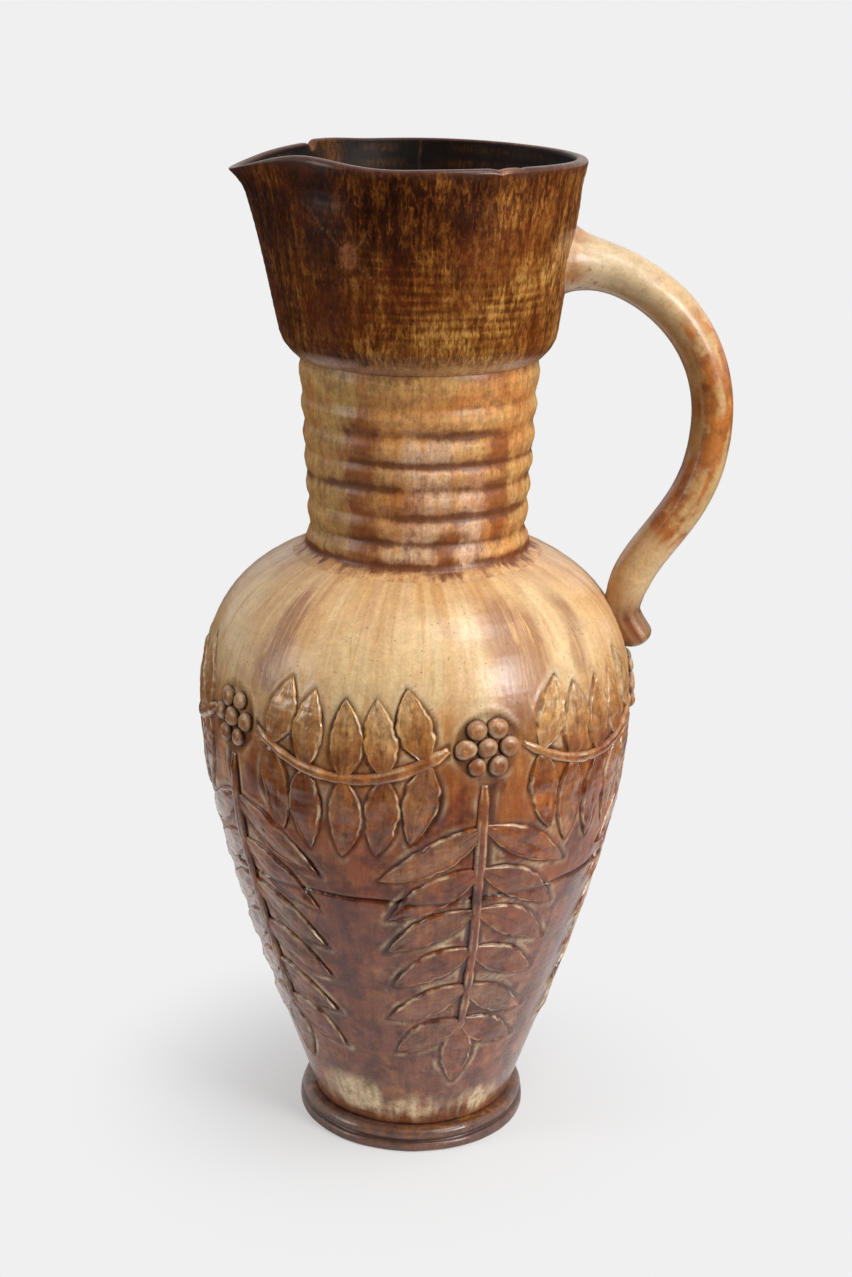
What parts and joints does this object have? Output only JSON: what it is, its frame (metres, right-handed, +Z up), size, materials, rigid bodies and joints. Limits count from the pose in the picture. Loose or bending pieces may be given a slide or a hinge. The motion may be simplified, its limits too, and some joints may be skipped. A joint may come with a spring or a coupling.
{
  "type": "pitcher",
  "caption": "Tall glazed stoneware pitcher with a round foot, ovoid body, ribbed neck, flaring mouth with a pulled spout, loop handle and applied leaf relief, for holding and pouring liquids",
  "frame": {"origin": "Centre of the foot's flat underside, on the pitcher's turning axis.", "axes": "+Z up along the turning axis, +X towards the handle, -X towards the spout; the plane Y = 0 holds the spout and the handle."},
  "size_m": [0.2647, 0.2224, 0.5032],
  "materials": {
    "foot_glaze": "gloss",
    "lower_body_glaze": "gloss",
    "upper_body_glaze": "gloss",
    "neck_glaze": "gloss",
    "mouth_glaze": "gloss",
    "handle_glaze": "gloss",
    "relief_glaze": "gloss",
    "berry_glaze": "gloss"
  },
  "bodies": {
    "root": {"foot": "foot_glaze", "lower_body": "lower_body_glaze", "upper_body": "upper_body_glaze", "neck": "neck_glaze", "mouth": "mouth_glaze", "handle": "handle_glaze", "garland_1": "relief_glaze", "garland_2": "relief_glaze", "garland_3": "relief_glaze", "garland_4": "relief_glaze", "garland_5": "relief_glaze", "pendant_spray_1": "relief_glaze", "pendant_spray_2": "relief_glaze", "pendant_spray_3": "relief_glaze", "pendant_spray_4": "relief_glaze", "pendant_spray_5": "relief_glaze", "berry_knot_1": "berry_glaze", "berry_knot_2": "berry_glaze", "berry_knot_3": "berry_glaze", "berry_knot_4": "berry_glaze", "berry_knot_5": "berry_glaze"}
  },
  "joints": []
}
